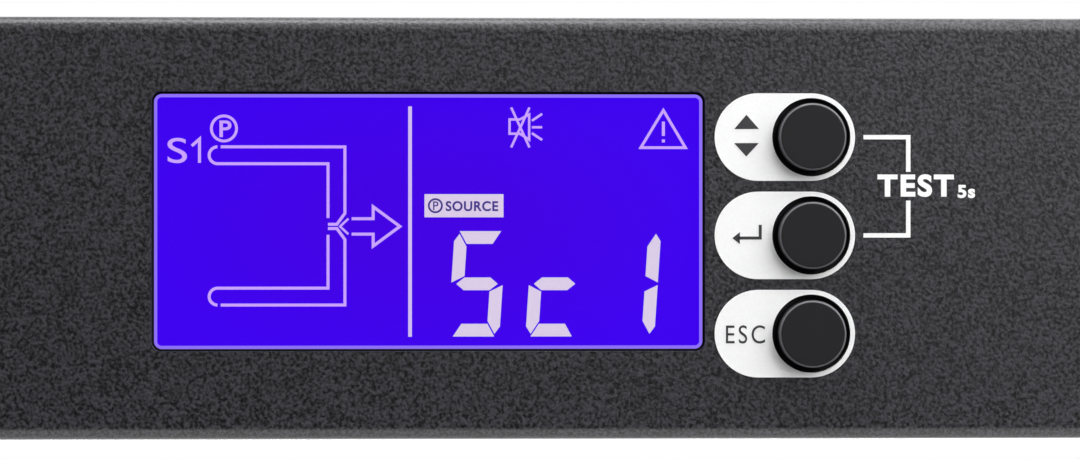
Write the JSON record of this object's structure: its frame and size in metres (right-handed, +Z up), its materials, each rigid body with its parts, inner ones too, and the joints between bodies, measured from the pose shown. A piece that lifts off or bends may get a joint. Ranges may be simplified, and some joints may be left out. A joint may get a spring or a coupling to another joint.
{
  "type": "rack static transfer switch",
  "caption": "Low rack unit that switches its outlets between two supplies, with a lit display and round keys in front and power connectors behind.",
  "frame": {"origin": "centre of the bounding box in plan, on the underside", "axes": "+X to the right seen from the front, the front faces -Y, +Z up"},
  "size_m": [0.4826, 0.2558, 0.0436],
  "materials": {
    "powder_coat": "fine-texture charcoal powder coat",
    "galvanised": "bright zinc-plated steel",
    "cooler": "extruded aluminium",
    "clear_window": "clear acrylic",
    "lcd_lit": "blue lit display glass",
    "lcd_marks": "pale lit segments",
    "backlight": "moulded light guide",
    "white_print": "white screen print",
    "black_key": "satin black moulded key",
    "black_socket": "black moulded polyamide",
    "grey_plastic": "grey moulded plastic",
    "natural_plastic": "natural nylon",
    "relay_case": "blue moulded case",
    "capacitor_case": "yellow potted case",
    "terminal_green": "green moulded terminal",
    "board": "green solder mask",
    "contact": "nickel-plated brass",
    "reset_white": "white moulded button"
  },
  "bodies": {
    "case": {"breaker_a": "black_socket", "breaker_b": "black_socket", "breaker_nuts": "galvanised", "buzzer": "black_socket", "capacitor_a": "capacitor_case", "capacitor_b": "capacitor_case", "chassis_base": "powder_coat", "clamp_screw": "galvanised", "current_sensor": "black_socket", "display_board": "board", "display_ribbon": "grey_plastic", "display_supports": "natural_plastic", "display_window": "clear_window", "earth_nut": "contact", "earth_stud": "contact", "front_panel": "powder_coat", "heat_sink": "cooler", "heavy_outlet": "black_socket", "inlet_a": "black_socket", "inlet_b": "black_socket", "inlet_blades": "contact", "lcd_backlight": "backlight", "lcd_bezel": "galvanised", "lcd_glass": "lcd_lit", "lcd_segments": "lcd_marks", "left_rack_ear": "powder_coat", "legend_print": "white_print", "module_clamp": "galvanised", "outlet_strip_a": "black_socket", "outlet_strip_b": "black_socket", "power_board": "board", "power_supports": "natural_plastic", "relay_a": "relay_case", "relay_b": "relay_case", "right_rack_ear": "powder_coat", "service_port": "galvanised", "switch_enter": "black_socket", "switch_escape": "black_socket", "switch_up_down": "black_socket", "terminal_block": "terminal_green", "thyristor_a": "black_socket", "thyristor_b": "black_socket", "top_cover": "powder_coat", "transformer_a": "black_socket", "transformer_b": "black_socket"},
    "key_up_down": {"button_up_down": "black_key", "stem_up_down": "natural_plastic"},
    "key_enter": {"button_enter": "black_key", "stem_enter": "natural_plastic"},
    "key_escape": {"button_escape": "black_key", "stem_escape": "natural_plastic"},
    "reset_a": {"reset_button_a": "reset_white"},
    "reset_b": {"reset_button_b": "reset_white"}
  },
  "joints": [
    {"name": "press_up_down", "type": "slide", "parent": "case", "child": "key_up_down", "axis": [0, 1, 0], "range_m": [0, 0.0008], "stiffness_N_per_m": 2500, "springref_m": -0.0002},
    {"name": "press_enter", "type": "slide", "parent": "case", "child": "key_enter", "axis": [0, 1, 0], "range_m": [0, 0.0008], "stiffness_N_per_m": 2500, "springref_m": -0.0002},
    {"name": "press_escape", "type": "slide", "parent": "case", "child": "key_escape", "axis": [0, 1, 0], "range_m": [0, 0.0008], "stiffness_N_per_m": 2500, "springref_m": -0.0002},
    {"name": "trip_a", "type": "slide", "parent": "case", "child": "reset_a", "axis": [0, 1, 0], "range_m": [0, 0.005]},
    {"name": "trip_b", "type": "slide", "parent": "case", "child": "reset_b", "axis": [0, 1, 0], "range_m": [0, 0.005]}
  ]
}
